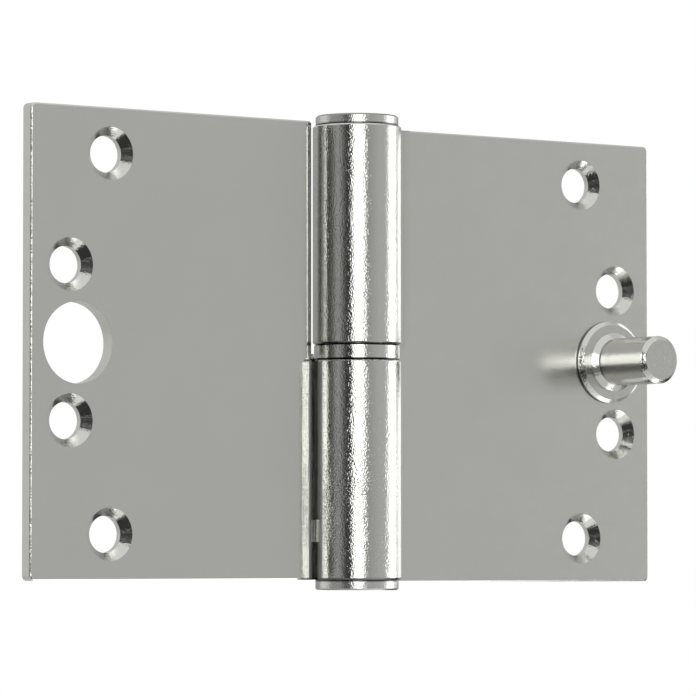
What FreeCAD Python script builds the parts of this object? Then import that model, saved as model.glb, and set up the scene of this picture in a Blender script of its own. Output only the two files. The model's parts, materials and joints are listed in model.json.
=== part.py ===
"""Lift-off hinge with rolled knuckles, a fixed pin, a thrust ring and a security stud.

All sizes are in millimetres. While the pieces are made, the pin axis is the line X = Y = 0 and the
frame leaf's lower edge is at Z = 0: the frame leaf reaches towards -X, the door leaf towards +X, and
the leaf faces look towards -Y. The finished pieces are then moved to the part's own origin, the
middle of the frame leaf's flat mounting face.
"""
import FreeCAD, Part
import math
import os
from FreeCAD import Vector

# Leaf plate, one stamping that serves both leaves
LEAF_HEIGHT = 89.0
LEAF_REACH = 75.0         # pin axis to the outer edge
PLATE = 3.0
AXIS_PROUD = 0.8          # pin axis in front of the leaf faces, half the closed gap
CORNER_RADIUS = 1.0       # outer corners, seen from the front
EDGE_BREAK = 0.3          # broken edges all round
INNER_EDGE_ROUND = 2.5    # rolled-over edge beside the other leaf's knuckle

# Knuckle, swaged back out of the plate and rolled round the pin
KNUCKLE_LENGTH = 42.6
DIP_START = 13.5          # pin axis to where the plate leaves the flat
DIP_ANGLE = 8.5           # slope of the dip that leads into the swage, in degrees
DIP_LENGTH = 2.2
BEND_RADIUS = 2.2         # of the plate's middle layer, at the dip and at the swage
ROLL_END_ANGLE = 99.0     # free end of the roll, in degrees from the front towards the plate
KNUCKLE_CLEARANCE = 0.6   # between a leaf's inner edge and the other leaf's knuckle
NOTCH_RADIUS = 1.2        # inner corner above the knuckle
SWAGE_FADE = 3.6          # height below the knuckle's end over which the swage begins to fade

# Tack weld that closes the frame leaf's roll on the pin
TACK_BITE = 0.3           # how deep it melts into each side of the seam
TACK_LENGTH = 4.3
TACK_HEIGHT = 7.3         # leaf's lower edge to the tack's lower end

# Pin, ring and caps
PIN_DIAMETER = 11.2
RUNNING_CLEARANCE = 0.05  # radial, round the pin, and at each face of the ring
PIN_TIP_CHAMFER = 1.0
PIN_TIP_CLEARANCE = 0.5   # below the top cap's plug, so that the ring carries the door
RING_DIAMETER = 16.8
RING_HEIGHT = 3.1
RING_CHAMFER = 0.3
CAP_DIAMETER = 16.2
CAP_HEIGHT = 2.0
CAP_CHAMFER = 0.3
CAP_PLUG_LENGTH = 5.0

# Screw holes, countersunk from the front, measured from the outer edge and from mid-height
SCREW_DIAMETER = 7.0
COUNTERSINK_DIAMETER = 10.1
COUNTERSINK_ANGLE = 82.0
END_SCREW_INSET = 17.8
END_SCREW_SPACING = 71.6
MIDDLE_SCREW_INSET = 8.8
MIDDLE_SCREW_SPACING = 29.2

# Security stud on the door leaf, and the hole that takes it in the frame leaf
STUD_INSET = 10.5         # outer edge to the middle of the stud and of its hole
STUD_HOLE_DIAMETER = 15.4
STUD_LENGTH = 16.5        # leaf face to tip
STUD_DIAMETER = 9.6
STUD_TIP_CHAMFER = 0.8
FLANGE_DIAMETER = 16.6
FLANGE_HEIGHT = 1.4
FLANGE_CHAMFER = 0.7
NECK_DIAMETER = 11.8
NECK_HEIGHT = 0.4
NECK_CONE_HEIGHT = 0.9
RIVET_DIAMETER = 8.0
RIVET_HEAD_DIAMETER = 10.0
RIVET_HEAD_HEIGHT = 1.0

# Sizes that follow from the ones above
BORE_RADIUS = PIN_DIAMETER / 2 + RUNNING_CLEARANCE
KNUCKLE_RADIUS = BORE_RADIUS + PLATE
FRONT = AXIS_PROUD
BACK = FRONT + PLATE
INNER_EDGE = KNUCKLE_RADIUS + KNUCKLE_CLEARANCE
STUD_REACH = LEAF_REACH - STUD_INSET
RING_SPACE = RING_HEIGHT + 2 * RUNNING_CLEARANCE
KNUCKLES_TOP = 2 * KNUCKLE_LENGTH + RING_SPACE
PART_ORIGIN = Vector(-(LEAF_REACH + DIP_START) / 2, BACK, LEAF_HEIGHT / 2)

OVERRUN = PLATE           # how far a cutter runs past what it cuts
TOLERANCE = 1e-4
UP = Vector(0, 0, 1)
BACKWARDS = Vector(0, 1, 0)


def round_pin(radius, degrees):
    """Point at this radius from the pin axis, turned from the front (-Y) towards the plate (-X)."""
    turn = math.radians(degrees)
    return Vector(-radius * math.sin(turn), -radius * math.cos(turn), 0)


def line(start, end):
    return Part.LineSegment(start, end).toShape()


def arc(start, middle, end):
    return Part.Arc(start, middle, end).toShape()


def polygon(points):
    """Closed straight-sided face through these points."""
    return Part.Face(Part.makePolygon(points + points[:1]))


def turned(profile, axis=UP):
    """Solid of revolution about the pin axis from (radius, height) points, or laid along another axis."""
    face = polygon([Vector(radius, 0, height) for radius, height in profile])
    solid = face.revolve(Vector(0, 0, 0), UP, 360)
    turn = FreeCAD.Rotation(UP, axis)
    solid.Placement = FreeCAD.Placement(Vector(0, 0, 0), turn)
    return solid


def rims(shape, radius, height):
    """Circular edges of this radius that lie at this height."""
    found = []
    for edge in shape.Edges:
        circle = edge.Curve
        if not isinstance(circle, Part.Circle):
            continue
        if abs(circle.Radius - radius) < TOLERANCE and abs(circle.Center.z - height) < TOLERANCE:
            found.append(edge)
    return found


def edges_within(shape, low, high):
    """Edges that lie wholly inside the box between these corners."""
    box = FreeCAD.BoundBox(low, high)
    box.enlarge(TOLERANCE)
    return [edge for edge in shape.Edges if box.isInside(edge.BoundBox)]


def bend_centres():
    """Centres of the bend into the dip and of the bend from the dip into the swage."""
    dip = math.radians(DIP_ANGLE)
    first = Vector(-DIP_START, FRONT + PLATE / 2 + BEND_RADIUS, 0)
    return first, first + Vector(math.cos(dip), math.sin(dip), 0) * DIP_LENGTH


def swage_angle():
    """Slope, in degrees, of the straight run that leads from the dip to behind the pin."""
    roll = BORE_RADIUS + PLATE / 2
    centre = bend_centres()[1]
    lean = math.atan2(-centre.x, centre.y)
    return math.degrees(lean - math.acos((roll + BEND_RADIUS) / centre.Length))


def knuckle_section():
    """Section across the pin of the dip, the swage and the roll, from the end of the flat plate."""
    slope = swage_angle()
    bends = zip(bend_centres(), (0, DIP_ANGLE), (DIP_ANGLE, slope))
    turns = [(centre, first, (first + last) / 2, last) for centre, first, last in bends]
    leave = 180 - slope
    end = 360 + ROLL_END_ANGLE
    edges = []
    sides = []
    for bend_radius, roll_radius in (
        (BEND_RADIUS + PLATE / 2, BORE_RADIUS),
        (BEND_RADIUS - PLATE / 2, KNUCKLE_RADIUS),
    ):
        points = []
        for centre, *angles in turns:
            points.append([centre - round_pin(bend_radius, 180 - degrees) for degrees in angles])
        points.append([round_pin(roll_radius, degrees) for degrees in (leave, (leave + end) / 2, end)])
        edges += [arc(*three) for three in points]
        edges += [line(before[-1], after[0]) for before, after in zip(points, points[1:])]
        sides.append((points[0][0], points[-1][-1]))
    edges += [line(front, back) for front, back in zip(*sides)]
    return Part.Face(Part.Wire(Part.__sortEdges__(edges)))


def fade_edge():
    """Ends of the shoulder above which the plate stays flat, in the plane Y = 0, and its arc."""
    low = Vector(-DIP_START, 0, KNUCKLE_LENGTH - SWAGE_FADE)
    high = Vector(-INNER_EDGE, 0, KNUCKLE_LENGTH + NOTCH_RADIUS)
    slant = math.sqrt(0.5)
    middle = Vector(high.x + (low.x - high.x) * slant, 0, low.z + (high.z - low.z) * slant)
    return low, high, arc(low, middle, high)


def flat_plate():
    """The leaf's flat, up to its straight inner edge beside the other leaf's knuckle."""
    inner = Vector(-INNER_EDGE, FRONT, 0)
    plate = Part.makeBox(LEAF_REACH - INNER_EDGE, PLATE, LEAF_HEIGHT, Vector(-LEAF_REACH, FRONT, 0))
    plate = plate.makeFillet(INNER_EDGE_ROUND, edges_within(plate, inner, inner + UP * LEAF_HEIGHT))
    for z in (0, LEAF_HEIGHT):
        corner = edges_within(plate, Vector(-LEAF_REACH, FRONT, z), Vector(-LEAF_REACH, BACK, z))
        plate = plate.makeFillet(CORNER_RADIUS, corner)
    for y in (FRONT, BACK):
        outer = edges_within(
            plate, Vector(-LEAF_REACH, y, 0), Vector(-LEAF_REACH, y, LEAF_HEIGHT)
        )
        plate = plate.makeChamfer(EDGE_BREAK, outer)
    low, high, fade = fade_edge()
    foot = Vector(low.x, 0, -OVERRUN)
    swaged_edges = [
        line(foot, low),
        fade,
        line(high, Vector(0, 0, high.z)),
        line(Vector(0, 0, high.z), Vector(0, 0, foot.z)),
        line(Vector(0, 0, foot.z), foot),
    ]
    swaged = Part.Face(Part.Wire(swaged_edges))
    return plate.cut(swaged.extrude(BACKWARDS * (BACK + OVERRUN)))


def knuckle():
    """Swage and roll, cut off at the knuckle's end with a rounded corner up to the inner edge."""
    low, high, fade = fade_edge()
    roll = knuckle_section().extrude(UP * high.z)
    roll = roll.makeChamfer(EDGE_BREAK, rims(roll, KNUCKLE_RADIUS, 0))
    corner = Vector(-INNER_EDGE + NOTCH_RADIUS, 0, KNUCKLE_LENGTH + NOTCH_RADIUS)
    foot = corner - UP * NOTCH_RADIUS
    slant = math.sqrt(0.5) * NOTCH_RADIUS
    past = KNUCKLE_RADIUS + OVERRUN
    above = high.z + OVERRUN
    notch_edges = [
        fade,
        arc(high, corner - Vector(slant, 0, slant), foot),
        line(foot, Vector(past, 0, foot.z)),
        line(Vector(past, 0, foot.z), Vector(past, 0, above)),
        line(Vector(past, 0, above), Vector(low.x, 0, above)),
        line(Vector(low.x, 0, above), low),
    ]
    notch = Part.Face(Part.Wire(notch_edges))
    notch.translate(BACKWARDS * -past)
    ring_room = turned(
        [
            (0, KNUCKLE_LENGTH),
            (KNUCKLE_RADIUS - EDGE_BREAK, KNUCKLE_LENGTH),
            (KNUCKLE_RADIUS, KNUCKLE_LENGTH - EDGE_BREAK),
            (KNUCKLE_RADIUS, above),
            (0, above),
        ]
    )
    return roll.cut([notch.extrude(BACKWARDS * 2 * past), ring_room])


def screw_hole(reach, height):
    """Cutter for one countersunk screw hole, sunk from the leaf face."""
    wide = COUNTERSINK_DIAMETER / 2
    narrow = SCREW_DIAMETER / 2
    depth = (wide - narrow) / math.tan(math.radians(COUNTERSINK_ANGLE / 2))
    through = PLATE + OVERRUN
    profile = [
        (0, -OVERRUN),
        (wide, -OVERRUN),
        (wide, 0),
        (narrow, depth),
        (narrow, through),
        (0, through),
    ]
    cutter = turned(profile, BACKWARDS)
    cutter.translate(Vector(-reach, FRONT, height))
    return cutter


def screw_holes():
    """Cutters for the two end holes and the two middle holes of a leaf."""
    cutters = []
    for inset, spacing in (
        (END_SCREW_INSET, END_SCREW_SPACING),
        (MIDDLE_SCREW_INSET, MIDDLE_SCREW_SPACING),
    ):
        for side in (-1, 1):
            height = LEAF_HEIGHT / 2 + side * spacing / 2
            cutters.append(screw_hole(LEAF_REACH - inset, height))
    return cutters


def leaf():
    """One leaf with its screw holes, knuckle at the bottom, plate towards -X."""
    blank = flat_plate().fuse(knuckle()).removeSplitter()
    return blank.cut(screw_holes())


def tack_weld():
    """Bead in the seam, from the roll's free end to the front of the swage."""
    slope = math.radians(swage_angle())
    roll_end = round_pin(KNUCKLE_RADIUS, ROLL_END_ANGLE)
    to_swage = Vector(-math.sin(slope), math.cos(slope), 0)
    swage_front = round_pin(BORE_RADIUS, 180 - math.degrees(slope))
    gap = (swage_front - roll_end).dot(to_swage)
    foot = roll_end + to_swage * gap / 2 + UP * TACK_HEIGHT
    return Part.makeCylinder(gap / 2 + TACK_BITE, TACK_LENGTH, foot)


def frame_leaf():
    """Leaf for the frame, tacked shut on the pin, with the hole that takes the security stud."""
    hole = Part.makeCylinder(
        STUD_HOLE_DIAMETER / 2, PLATE, Vector(-STUD_REACH, FRONT, LEAF_HEIGHT / 2), BACKWARDS
    )
    return leaf().cut(hole).fuse(tack_weld())


def to_door_side(shape):
    """Turn a piece of the frame side half a turn about the front-to-back line through the ring."""
    turned_over = shape.copy()
    turned_over.rotate(Vector(0, 0, KNUCKLES_TOP / 2), BACKWARDS, 180)
    return turned_over


def door_leaf():
    """Leaf for the door, with the countersunk hole that the stud is riveted into."""
    shank = RIVET_DIAMETER / 2
    head = RIVET_HEAD_DIAMETER / 2
    through = PLATE + OVERRUN
    profile = [
        (0, -through),
        (shank, -through),
        (shank, -RIVET_HEAD_HEIGHT),
        (head, 0),
        (head, OVERRUN),
        (0, OVERRUN),
    ]
    hole = turned(profile, BACKWARDS)
    hole.translate(Vector(-STUD_REACH, BACK, LEAF_HEIGHT / 2))
    return to_door_side(leaf().cut(hole))


def hinge_pin():
    """Pin pressed into the lower knuckle and running in the upper one."""
    run = PIN_DIAMETER / 2
    tip = KNUCKLES_TOP - CAP_PLUG_LENGTH - PIN_TIP_CLEARANCE
    profile = [
        (0, CAP_PLUG_LENGTH),
        (BORE_RADIUS, CAP_PLUG_LENGTH),
        (BORE_RADIUS, KNUCKLE_LENGTH),
        (run, KNUCKLE_LENGTH),
        (run, tip - PIN_TIP_CHAMFER),
        (run - PIN_TIP_CHAMFER, tip),
        (0, tip),
    ]
    return turned(profile)


def thrust_ring():
    """Ring round the pin between the two knuckles."""
    low = KNUCKLE_LENGTH + RUNNING_CLEARANCE
    high = low + RING_HEIGHT
    inner = PIN_DIAMETER / 2 + RUNNING_CLEARANCE
    outer = RING_DIAMETER / 2
    ring = turned([(inner, low), (outer, low), (outer, high), (inner, high)])
    return ring.makeChamfer(RING_CHAMFER, rims(ring, outer, low) + rims(ring, outer, high))


def bottom_cap():
    """Cap pressed into the open end of the lower knuckle."""
    plug = BORE_RADIUS
    disc = CAP_DIAMETER / 2
    profile = [
        (0, -CAP_HEIGHT),
        (disc, -CAP_HEIGHT),
        (disc, 0),
        (plug, 0),
        (plug, CAP_PLUG_LENGTH),
        (0, CAP_PLUG_LENGTH),
    ]
    cap = turned(profile)
    return cap.makeChamfer(CAP_CHAMFER, rims(cap, disc, -CAP_HEIGHT))


def top_cap():
    """The same cap, pressed into the open end of the upper knuckle."""
    return to_door_side(bottom_cap())


def security_stud():
    """Turned stud with a flange and neck, riveted through the door leaf."""
    shaft = STUD_DIAMETER / 2
    neck_end = FLANGE_HEIGHT + NECK_HEIGHT
    profile = [
        (0, -PLATE),
        (RIVET_HEAD_DIAMETER / 2, -PLATE),
        (RIVET_DIAMETER / 2, RIVET_HEAD_HEIGHT - PLATE),
        (RIVET_DIAMETER / 2, 0),
        (FLANGE_DIAMETER / 2, 0),
        (FLANGE_DIAMETER / 2, FLANGE_HEIGHT),
        (NECK_DIAMETER / 2, FLANGE_HEIGHT),
        (NECK_DIAMETER / 2, neck_end),
        (shaft, neck_end + NECK_CONE_HEIGHT),
        (shaft, STUD_LENGTH - STUD_TIP_CHAMFER),
        (shaft - STUD_TIP_CHAMFER, STUD_LENGTH),
        (0, STUD_LENGTH),
    ]
    stud = turned(profile)
    stud = stud.makeChamfer(FLANGE_CHAMFER, rims(stud, FLANGE_DIAMETER / 2, FLANGE_HEIGHT))
    stud.rotate(Vector(0, 0, 0), Vector(1, 0, 0), 90)
    stud.translate(Vector(-STUD_REACH, FRONT, LEAF_HEIGHT / 2))
    return to_door_side(stud)


def main():
    os.makedirs("parts", exist_ok=True)
    for make in (
        frame_leaf,
        door_leaf,
        hinge_pin,
        thrust_ring,
        bottom_cap,
        top_cap,
        security_stud,
    ):
        shape = make()
        shape.translate(-PART_ORIGIN)
        shape.exportStep(f"parts/{make.__name__}.step")


main()
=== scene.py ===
"""Looks of the lift-off hinge: zinc-plated steel in a plain white studio."""
import json
import math

import bpy
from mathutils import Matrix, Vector


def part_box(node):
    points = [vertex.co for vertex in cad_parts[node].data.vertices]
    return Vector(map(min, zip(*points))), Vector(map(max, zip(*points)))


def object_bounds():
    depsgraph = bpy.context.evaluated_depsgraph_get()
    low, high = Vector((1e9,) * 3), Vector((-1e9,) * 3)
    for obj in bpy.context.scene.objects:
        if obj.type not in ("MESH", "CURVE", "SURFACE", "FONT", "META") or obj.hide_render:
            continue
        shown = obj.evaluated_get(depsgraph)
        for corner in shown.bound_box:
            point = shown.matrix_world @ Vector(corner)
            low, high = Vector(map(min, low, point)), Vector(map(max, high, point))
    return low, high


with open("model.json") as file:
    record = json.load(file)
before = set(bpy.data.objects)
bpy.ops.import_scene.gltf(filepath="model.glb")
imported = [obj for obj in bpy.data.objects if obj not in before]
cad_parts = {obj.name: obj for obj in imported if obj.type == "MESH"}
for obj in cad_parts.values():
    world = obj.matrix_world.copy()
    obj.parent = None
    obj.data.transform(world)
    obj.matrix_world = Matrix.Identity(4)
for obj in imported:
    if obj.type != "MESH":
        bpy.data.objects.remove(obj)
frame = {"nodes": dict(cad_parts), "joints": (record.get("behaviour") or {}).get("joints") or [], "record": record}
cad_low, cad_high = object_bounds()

MM = 0.001

# Camera, in the frame of the hinge
CAMERA_PLACE = (-494.05 * MM, -724.1 * MM, -38.9 * MM)
CAMERA_TURN = -36.66      # degrees from looking straight at the leaf faces
CAMERA_TILT = 2.516       # degrees upwards
CAMERA_LENS = 238.7       # on a sensor 36 wide
CAMERA_SENSOR = 36.0

# Studio
FLOOR_DROP = 350 * MM     # below the hinge
FLOOR_SIZE = 9.0
FLOOR_COLOUR = (0.82, 0.82, 0.81, 1.0)
CLOTH_LIFT = 2 * MM       # of a cloth above the floor
WHITE = (1.0, 1.0, 1.0, 1.0)
ROOM_LIGHT = 0.5          # of the white room on matt surfaces
TOP_LIGHT_HEIGHT = 1.5    # above the middle of the hinge
TOP_LIGHT_SIZE = 1.4
TOP_LIGHT_POWER = 18.0
CARD_RADIUS = 1.6
CARD_STEP = 3.0           # degrees of a card's bend per face

# Cards round the hinge: degrees to the right of the front, degrees above level, radiance left and right
CARDS = {
    "softbox_camera": ((-47, -18), (-8, 20), (3.0, 3.0)),
    "card_camera_low": ((-47, -18), (-14, -8), (0.3, 0.3)),
    "card_front": ((-18, 28), (-14, 24), (0.4, 0.62)),
    "card_flats": ((28, 46), (-14, 24), (0.62, 0.59)),
    "card_front_right": ((46, 57), (-14, 24), (0.66, 1.1)),
    "softbox_right": ((57, 82), (-14, 35), (3.0, 3.0)),
    "card_right": ((82, 106), (-14, 35), (0.9, 0.9)),
    "card_above_right": ((57, 106), (35, 60), (0.8, 0.8)),
    "card_far_right": ((106, 135), (-14, 45), (0.45, 0.45)),
    "card_near_left": ((-70, -47), (-14, 17), (0.06, 0.06)),
    "strip_near_left": ((-70, -47), (17, 22), (0.3, 0.3)),
    "card_near_left_high": ((-70, -47), (22, 32), (0.06, 0.06)),
    "card_left": ((-80, -70), (-14, 45), (0.22, 0.22)),
    "card_far_left": ((-124, -80), (-14, 45), (0.42, 0.42)),
    "card_back": ((135, 200), (-14, 8), (0.4, 0.4)),
    "card_back_high": ((135, 200), (8, 45), (0.7, 0.7)),
    "card_back_left": ((200, 236), (-14, 45), (0.95, 0.95)),
}

# Cloths and reflectors on the floor: degrees to the right of the front, distances, radiance
FLOOR_CARDS = {
    "reflector_below": ((132, 405), (0.0, 0.2), 1.1),
    "reflector_right": ((45, 132), (0.0, 0.33), 2.2),
    "cloth_camera": ((-38, -8), (0.55, 1.6), 0.25),
    "cloth_near_left": ((-76, -38), (0.2, 1.45), 0.05),
    "cloth_right": ((92, 132), (0.33, 1.8), 0.08),
}

# Zinc plating, with depths in millimetres
ZINC = (0.58, 0.582, 0.552)
BRIGHT_STEEL = (0.56, 0.56, 0.55)
NOISE_DETAIL = 2.0
GRAIN_DETAIL = 1.0
CLOUD_DETAIL = 3.0
CLOUD_SIZE = 18 * MM
CLOUD_DEPTH = 0.03        # share by which the colour drifts
SHADED_SHARE = 0.12              # share of the colour left in the joints, where shade is painted
JOINT_LINE = 0.45 * MM    # height of the line of painted shade at the foot of a piece
RIM_SHADE = 0.6           # share of a joint's painted shade, also painted on the broken rims of the small pieces
SEAM_SHADE = 0.5          # share of a joint's painted shade, painted in the seam of a knuckle
FLAT_ROUGHNESS = 0.18
ROLLED_ROUGHNESS = 0.07
PRESSED_ROUGHNESS = 0.2
ROUGHNESS_DRIFT = 0.04
DRIFT_LIMITS = (0.3, 0.7)   # of the noise, from the least roughness to the most
DRIFT_SIZE = 1.2 * MM
GRAIN_SIZE = 0.33 * MM
FLAT_GRAIN = 0.014
ROLLED_GRAIN = 0.052
SUNK_GRAIN = 0.035
TURNED_GRAIN = 0.035
SCUFF_SIZE = (5 * MM, 5 * MM, 12 * MM)
FRAME_SCUFFS = 0.07
DOOR_SCUFFS = 0.02
SCUFF_LIMITS = (0.4, 0.65)  # of the noise, from no scuff to the deepest
SCUFF_FADE = 50 * MM      # height above the foot at which the scuffs end
FROST = 0.25              # roughness added on cut faces and at the free end of the roll
STREAK_SIZE = (0.35 * MM, 0.35 * MM, 6 * MM)
STREAK_DEPTH = 0.03
BURR_SIZE = 0.3 * MM
BURR_DEPTH = 0.1
BURR_BAND = 0.32 * MM     # of the outer edge
BEND_START = 13.5 * MM    # from the pin's axis, where the leaf leaves the flat
BEND_DIP = 0.1 * MM       # behind the leaf face, where the streaks begin
MASK_BLEND = 0.1 * MM     # of the sharp masks
PART_BLEND = 0.32 * MM    # between the knuckle, the bend and the flat
SEAM_START = 10.4 * MM    # from the pin's axis, where the painted shade of the seam begins
SEAM_BLEND = 0.3 * MM
ROLL_RADIUS = 8.9 * MM    # just outside the knuckle
ROLL_END = math.radians(85)
ROLL_END_BLEND = math.radians(4)
NORMAL_BLEND = 0.05       # of the masks that go by the slope of a face
SLANT_LIMITS = (0.2, 0.97)  # of a normal's share along an axis, on a slanted face
ACROSS_STUD = (1, 0, 1)   # the directions across the stud's axis
TURNING_PITCH = 0.6 * MM  # of the rings on the stud's flat faces
TURNING_DEPTH = 0.003
RIM_ROUND = 0.25 * MM
RIM_SEGMENTS = 3
RIM_ANGLE = math.radians(30)  # sharpest edge that stays as it is

AXIS_X, AXIS_Y, _ = frame["joints"][0]["pos_m"]
MOUNTS = {mount["name"]: mount for mount in frame["record"]["mounts"]}
LEAF_FACE = -MOUNTS["stud_hole"]["dims"]["length_mm"] * MM


def add(tree, kind, inputs=None, **settings):
    """New node in a tree: settings are its own values, inputs are values or the sockets to link from."""
    node = tree.nodes.new(kind)
    for key, value in settings.items():
        setattr(node, key, value)
    for socket, value in (inputs or {}).items():
        if isinstance(value, bpy.types.NodeSocket):
            tree.links.new(value, node.inputs[socket])
        else:
            node.inputs[socket].default_value = value
    return node


def new_material(name):
    """Empty node material and its tree."""
    material = bpy.data.materials.new(name)
    material.use_nodes = True
    material.node_tree.nodes.clear()
    return material, material.node_tree


def calc(tree, operation, first, second=0.0):
    """Socket with the result of one operation on values or sockets."""
    return add(tree, "ShaderNodeMath", {0: first, 1: second}, operation=operation).outputs[0]


def product(tree, first, *others):
    """Socket with the product of masks and depths."""
    for other in others:
        first = calc(tree, "MULTIPLY", first, other)
    return first


def largest(tree, first, *others):
    """Socket with the largest of masks and depths."""
    for other in others:
        first = calc(tree, "MAXIMUM", first, other)
    return first


def ramp(tree, value, start, end, low=0.0, high=1.0):
    """Socket that goes from low to high as the value goes from start to end."""
    limits = {"From Min": start, "From Max": end, "To Min": low, "To Max": high}
    node = add(tree, "ShaderNodeMapRange", {"Value": value, **limits})
    return node.outputs["Result"]


def noise(tree, place, size, detail=NOISE_DETAIL):
    """Noise whose lumps have this size, one number or one along each axis."""
    sizes = size if isinstance(size, tuple) else (size, size, size)
    counts = [1 / value for value in sizes]
    scaled = add(tree, "ShaderNodeVectorMath", {0: place, 1: counts}, operation="MULTIPLY")
    grain = add(tree, "ShaderNodeTexNoise", {"Vector": scaled.outputs[0], "Scale": 1.0, "Detail": detail})
    return grain.outputs["Fac"]


def plated(tree, place, colour, rough, height, painted_shade):
    """Ends a plated metal: cloudy colour with painted shade in the joints, roughness, relief in millimetres."""
    # Painted shade: the colour is darkened in the joints, where this mask is 1.
    clear = ramp(tree, painted_shade, 0.0, 1.0, 1.0, SHADED_SHARE)
    clouds = noise(tree, place, CLOUD_SIZE, CLOUD_DETAIL)
    clouds = ramp(tree, clouds, 0.0, 1.0, 1 - CLOUD_DEPTH, 1 + CLOUD_DEPTH)
    shade = product(tree, clear, clouds)
    tint = add(tree, "ShaderNodeVectorMath", {0: colour, 1: shade}, operation="MULTIPLY")
    bump = add(tree, "ShaderNodeBump", {"Height": height, "Strength": 1.0, "Distance": MM})
    shader = add(
        tree,
        "ShaderNodeBsdfPrincipled",
        {
            "Base Color": tint.outputs[0],
            "Metallic": 1.0,
            "Roughness": rough,
            "Normal": bump.outputs["Normal"],
        },
    )
    add(tree, "ShaderNodeOutputMaterial", {"Surface": shader.outputs["BSDF"]})


def joint_shade(tree, coordinate, level):
    """Socket that is 1 in the joint at this level, where shade is painted."""
    gap = calc(tree, "ABSOLUTE", calc(tree, "SUBTRACT", coordinate, level))
    return ramp(tree, gap, JOINT_LINE, JOINT_LINE / 2)


def roughness(tree, place, least):
    """Roughness that drifts upwards from a least value."""
    most = calc(tree, "ADD", least, ROUGHNESS_DRIFT)
    return ramp(tree, noise(tree, place, DRIFT_SIZE, CLOUD_DETAIL), *DRIFT_LIMITS, least, most)


def slanted(tree, cosine):
    """Socket that is 1 on a slanted face, by its normal's share along an axis."""
    steep, flat = SLANT_LIMITS
    share = calc(tree, "ABSOLUTE", cosine)
    above = ramp(tree, share, steep, steep + NORMAL_BLEND)
    return product(tree, above, ramp(tree, share, flat, flat - NORMAL_BLEND))


def zinc_small(name, colour, least, grain_depth, foot):
    """Plating of the pressed small pieces, with painted shade in the joint at their foot and on their broken rims.
    """
    material, tree = new_material(name)
    source = add(tree, "ShaderNodeTexCoord").outputs
    place = source["Object"]
    level = add(tree, "ShaderNodeSeparateXYZ", {"Vector": place}).outputs["Z"]
    upwards = add(tree, "ShaderNodeSeparateXYZ", {"Vector": source["Normal"]}).outputs["Z"]
    # Painted shade on the slanted rims and in the joint at the foot.
    rim = product(tree, slanted(tree, upwards), RIM_SHADE)
    painted_shade = largest(tree, joint_shade(tree, level, foot), rim)
    height = product(tree, noise(tree, place, GRAIN_SIZE, GRAIN_DETAIL), grain_depth)
    plated(tree, place, colour, roughness(tree, place, least), height, painted_shade)
    return material


def zinc_turned(name):
    """Plating of the stud: fine grain, turning rings in front of the leaf, painted shade in the joint at the leaf.
    """
    material, tree = new_material(name)
    place = add(tree, "ShaderNodeTexCoord").outputs["Object"]
    centre = MOUNTS["stud_shaft"]["pos_m"]
    from_axis = add(tree, "ShaderNodeVectorMath", {0: place, 1: centre}, operation="SUBTRACT").outputs[0]
    across = add(tree, "ShaderNodeVectorMath", {0: from_axis, 1: ACROSS_STUD}, operation="MULTIPLY")
    radius = add(tree, "ShaderNodeVectorMath", {0: across.outputs[0]}, operation="LENGTH").outputs["Value"]
    waves = calc(tree, "SINE", calc(tree, "MULTIPLY", radius, 2 * math.pi / TURNING_PITCH))
    grain = product(tree, noise(tree, place, GRAIN_SIZE, GRAIN_DETAIL), TURNED_GRAIN)
    depth = add(tree, "ShaderNodeSeparateXYZ", {"Vector": place}).outputs["Y"]
    turned = ramp(tree, depth, LEAF_FACE, LEAF_FACE - JOINT_LINE, 0.0, TURNING_DEPTH)
    height = calc(tree, "ADD", grain, product(tree, waves, turned))
    # Painted shade in the joint where the stud meets the leaf.
    painted_shade = joint_shade(tree, depth, LEAF_FACE)
    plated(tree, place, ZINC, roughness(tree, place, ROLLED_ROUGHNESS), height, painted_shade)
    return material


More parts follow.
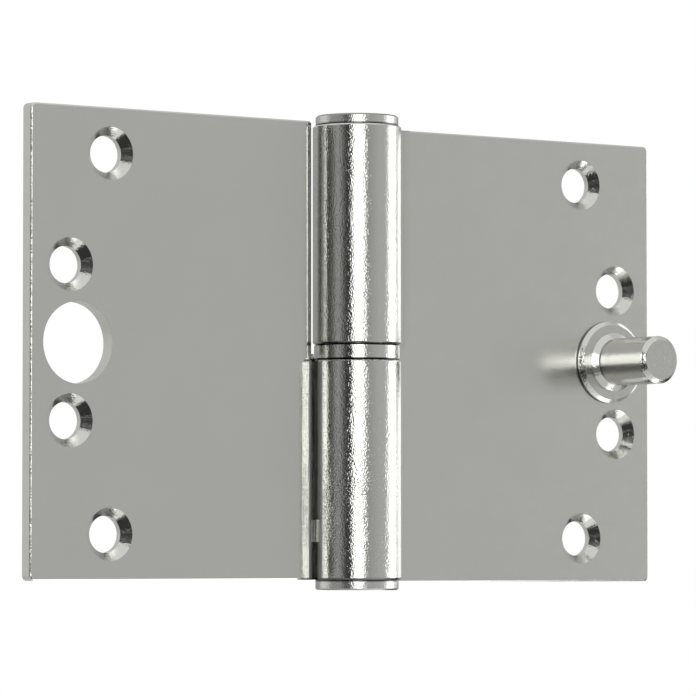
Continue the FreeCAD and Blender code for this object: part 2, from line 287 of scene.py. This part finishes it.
def leaf_masks(tree, source, side, reach, foot, top):
    """Masks of the regions of a leaf on one side of the pin, with its knuckle between two levels."""
    split = add(tree, "ShaderNodeSeparateXYZ", {"Vector": source["Object"]}).outputs
    facing = add(tree, "ShaderNodeSeparateXYZ", {"Vector": source["Normal"]}).outputs["Y"]
    outwards = calc(tree, "MULTIPLY", calc(tree, "SUBTRACT", split["X"], AXIS_X), side)
    forwards = calc(tree, "SUBTRACT", AXIS_Y, split["Y"])
    angle = calc(tree, "ARCTAN2", outwards, forwards)

    plate = ramp(tree, outwards, BEND_START, BEND_START + PART_BLEND)
    before_flat = ramp(tree, outwards, BEND_START, BEND_START - MASK_BLEND)
    past_roll = ramp(tree, outwards, ROLL_RADIUS - MASK_BLEND, ROLL_RADIUS)
    knuckle = ramp(tree, outwards, ROLL_RADIUS + PART_BLEND, ROLL_RADIUS)
    above_foot = ramp(tree, split["Z"], foot - SEAM_BLEND, foot)
    below_top = ramp(tree, split["Z"], top + SEAM_BLEND, top)
    dipped = ramp(tree, split["Y"], LEAF_FACE + BEND_DIP / 2, LEAF_FACE + BEND_DIP)
    forward_side = ramp(tree, facing, 0.0, -NORMAL_BLEND)
    upright = ramp(tree, calc(tree, "ABSOLUTE", facing), 2 * NORMAL_BLEND, NORMAL_BLEND)
    in_seam = ramp(tree, outwards, SEAM_START, SEAM_START - SEAM_BLEND)
    free_end = ramp(tree, angle, ROLL_END, ROLL_END + ROLL_END_BLEND)
    burr_start = reach - BURR_BAND
    burr_end = LEAF_FACE + BURR_BAND
    return {
        "knuckle": knuckle,
        "bend": product(tree, dipped, past_roll, before_flat, above_foot, below_top),
        # Painted shade in the seam of the knuckle.
        "seam": product(tree, forward_side, past_roll, in_seam, above_foot, below_top),
        "roll_end": product(tree, knuckle, free_end),
        "cut": product(tree, plate, upright),
        "sunk": product(tree, plate, slanted(tree, facing)),
        "edge": product(
            tree,
            ramp(tree, outwards, burr_start, burr_start + MASK_BLEND),
            ramp(tree, split["Y"], burr_end, burr_end - MASK_BLEND),
        ),
        # Painted shade in the joint at the foot of the knuckle.
        "foot": product(tree, knuckle, joint_shade(tree, split["Z"], foot)),
        "scuffed": ramp(tree, split["Z"], foot + SCUFF_FADE, foot),
    }


def zinc_leaf(name, node, side, foot, top, scuff_depth):
    """Plating of a leaf: a sheared outer edge, frosted cut faces, a streaked bend, a burred roll end, and
    painted shade in the seam and at the foot of the knuckle."""
    material, tree = new_material(name)
    low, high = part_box(node)
    reach = max(side * (low.x - AXIS_X), side * (high.x - AXIS_X))
    source = add(tree, "ShaderNodeTexCoord").outputs
    place = source["Object"]
    masks = leaf_masks(tree, source, side, reach, foot, top)
    formed = largest(tree, masks["knuckle"], masks["bend"], masks["sunk"])
    frosted = largest(tree, masks["cut"], masks["roll_end"])
    burred = largest(tree, masks["edge"], masks["roll_end"])

    scuffs = ramp(tree, noise(tree, place, SCUFF_SIZE), *SCUFF_LIMITS, 0.0, scuff_depth)
    scuffs = product(tree, scuffs, masks["scuffed"])
    rolled = product(tree, masks["knuckle"], calc(tree, "ADD", ROLLED_GRAIN, scuffs))
    grain = largest(tree, rolled, product(tree, masks["sunk"], SUNK_GRAIN), FLAT_GRAIN)
    height = product(tree, noise(tree, place, GRAIN_SIZE, GRAIN_DETAIL), grain)
    streaks = product(tree, noise(tree, place, STREAK_SIZE), masks["bend"], STREAK_DEPTH)
    burrs = product(tree, noise(tree, place, BURR_SIZE), burred, BURR_DEPTH)
    for relief in (streaks, burrs):
        height = calc(tree, "ADD", height, relief)
    least = ramp(tree, formed, 0.0, 1.0, FLAT_ROUGHNESS, ROLLED_ROUGHNESS)
    rough = roughness(tree, place, calc(tree, "ADD", least, product(tree, frosted, FROST)))
    # Painted shade at the foot of the knuckle and in its seam.
    painted_shade = largest(tree, masks["foot"], product(tree, masks["seam"], SEAM_SHADE))
    plated(tree, place, ZINC, rough, height, painted_shade)
    return material


def dress(material, *nodes):
    """Puts a material on CAD nodes."""
    for name in nodes:
        for slot in frame["nodes"][name].material_slots:
            slot.material = material


def round_rim(node):
    """Rounds the chamfered rim of a cap."""
    bevel = frame["nodes"][node].modifiers.new("rim", "BEVEL")
    bevel.width = RIM_ROUND
    bevel.segments = RIM_SEGMENTS
    bevel.limit_method = "ANGLE"
    bevel.angle_limit = RIM_ANGLE


def dress_hinge():
    """Gives each piece its plating and rounds the rims of the caps."""
    frame_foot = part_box("frame_leaf")[0].z
    ring_foot, ring_top = (corner.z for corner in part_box("thrust_ring"))
    door_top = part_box("door_leaf")[1].z
    dress(zinc_leaf("zinc_frame_leaf", "frame_leaf", -1, frame_foot, ring_foot, FRAME_SCUFFS), "frame_leaf")
    dress(zinc_leaf("zinc_door_leaf", "door_leaf", 1, ring_top, door_top, DOOR_SCUFFS), "door_leaf")
    for name, colour, node, least, grain_depth, foot in (
        ("zinc_ring", ZINC, "thrust_ring", ROLLED_ROUGHNESS, ROLLED_GRAIN, ring_foot),
        ("zinc_top_cap", ZINC, "top_cap", PRESSED_ROUGHNESS, ROLLED_GRAIN, door_top),
        ("zinc_bottom_cap", ZINC, "bottom_cap", PRESSED_ROUGHNESS, ROLLED_GRAIN, frame_foot),
        ("bright_pin", BRIGHT_STEEL, "hinge_pin", ROLLED_ROUGHNESS, FLAT_GRAIN, ring_foot),
    ):
        dress(zinc_small(name, colour, least, grain_depth, foot), node)
    dress(zinc_turned("zinc_stud"), "security_stud")
    for cap in ("top_cap", "bottom_cap"):
        round_rim(cap)


def mesh_object(name, vertices, faces):
    """New mesh object in the scene."""
    mesh = bpy.data.meshes.new(name)
    mesh.from_pydata(vertices, [], faces)
    made = bpy.data.objects.new(name, mesh)
    bpy.context.scene.collection.objects.link(made)
    return made


def glow():
    """Shining surface whose radiance is stored on the mesh."""
    material, tree = new_material("studio_card")
    stored = add(tree, "ShaderNodeAttribute", attribute_name="radiance")
    light = add(tree, "ShaderNodeEmission", {"Color": WHITE, "Strength": stored.outputs["Fac"]})
    add(tree, "ShaderNodeOutputMaterial", {"Surface": light.outputs["Emission"]})
    return material


def reflected_only(name, vertices, radiances, material):
    """Strip of paired vertices that shows in the metal, and not to the camera or the floor."""
    faces = [(i, i + 1, i + 3, i + 2) for i in range(0, len(vertices) - 2, 2)]
    made = mesh_object(name, vertices, faces)
    stored = made.data.attributes.new("radiance", "FLOAT", "POINT")
    stored.data.foreach_set("value", radiances)
    made.data.materials.append(material)
    made.visible_camera = False
    made.visible_diffuse = False
    made.visible_shadow = False


def azimuth_steps(azimuths):
    """Share of the way and direction of each step from one azimuth to the other."""
    start, end = azimuths
    count = round((end - start) / CARD_STEP)
    for i in range(count + 1):
        azimuth = math.radians(start + (end - start) * i / count)
        yield i / count, Vector((math.sin(azimuth), -math.cos(azimuth), 0))


def card(name, azimuths, heights, radiance, centre, material):
    """Bent card or softbox that stands round the hinge."""
    low, high = (Vector((0, 0, CARD_RADIUS * math.tan(math.radians(height)))) for height in heights)
    vertices = []
    radiances = []
    for share, outwards in azimuth_steps(azimuths):
        foot = centre + CARD_RADIUS * outwards
        vertices += [foot + low, foot + high]
        radiances += [radiance[0] + share * (radiance[1] - radiance[0])] * 2
    reflected_only(name, vertices, radiances, material)


def floor_card(name, azimuths, distances, radiance, foot, material):
    """Cloth or reflector that lies on the floor."""
    vertices = []
    for _, outwards in azimuth_steps(azimuths):
        vertices += [foot + distance * outwards for distance in distances]
    reflected_only(name, vertices, [radiance] * len(vertices), material)


def top_light(centre):
    """Soft lamp above the hinge that the metal doesn't show."""
    lamp = bpy.data.lights.new("top_light", "AREA")
    lamp.size = TOP_LIGHT_SIZE
    lamp.energy = TOP_LIGHT_POWER
    made = bpy.data.objects.new("top_light", lamp)
    made.location = centre + Vector((0, 0, TOP_LIGHT_HEIGHT))
    made.visible_glossy = False
    bpy.context.scene.collection.objects.link(made)


def shown_rays(tree):
    """Socket that is 1 for what the camera sees, directly, in metal or through glass."""
    path = add(tree, "ShaderNodeLightPath").outputs
    return largest(tree, path["Is Camera Ray"], path["Is Glossy Ray"], path["Is Transmission Ray"])


def floor(level):
    """Pale matt paper under the hinge."""
    half = FLOOR_SIZE / 2
    corners = [(-half, -half, level), (half, -half, level), (half, half, level), (-half, half, level)]
    made = mesh_object("floor", corners, [(0, 1, 2, 3)])
    material, tree = new_material("floor_paper")
    matt = add(tree, "ShaderNodeBsdfDiffuse", {"Color": FLOOR_COLOUR})
    add(tree, "ShaderNodeOutputMaterial", {"Surface": matt.outputs["BSDF"]})
    made.data.materials.append(material)


def room():
    """White room, softer on matt surfaces than to the eye."""
    world = bpy.data.worlds.new("white_room")
    world.use_nodes = True
    tree = world.node_tree
    tree.nodes.clear()
    soft = add(tree, "ShaderNodeBackground", {"Color": WHITE, "Strength": ROOM_LIGHT})
    white = add(tree, "ShaderNodeBackground", {"Color": WHITE, "Strength": 1.0})
    mixed = add(
        tree,
        "ShaderNodeMixShader",
        {0: shown_rays(tree), 1: soft.outputs["Background"], 2: white.outputs["Background"]},
    )
    add(tree, "ShaderNodeOutputWorld", {"Surface": mixed.outputs["Shader"]})
    bpy.context.scene.world = world


def camera():
    """Camera in the place from which the hinge was taken."""
    lens = bpy.data.cameras.new("camera")
    lens.lens = CAMERA_LENS
    lens.sensor_width = CAMERA_SENSOR
    made = bpy.data.objects.new("camera", lens)
    made.location = CAMERA_PLACE
    made.rotation_euler = (math.radians(90 + CAMERA_TILT), 0, math.radians(CAMERA_TURN))
    bpy.context.scene.collection.objects.link(made)
    bpy.context.scene.camera = made


def studio():
    """Cards, floor, lamp and room round the hinge."""
    middle = (cad_low + cad_high) / 2
    level = cad_low.z - FLOOR_DROP
    material = glow()
    for name, (azimuths, heights, radiance) in CARDS.items():
        card(name, azimuths, heights, radiance, middle, material)
    foot = Vector((middle.x, middle.y, level + CLOTH_LIFT))
    for name, (azimuths, distances, radiance) in FLOOR_CARDS.items():
        floor_card(name, azimuths, distances, radiance, foot, material)
    floor(level)
    top_light(middle)
    room()


dress_hinge()
studio()
camera()
bpy.context.scene.view_settings.view_transform = "Standard"
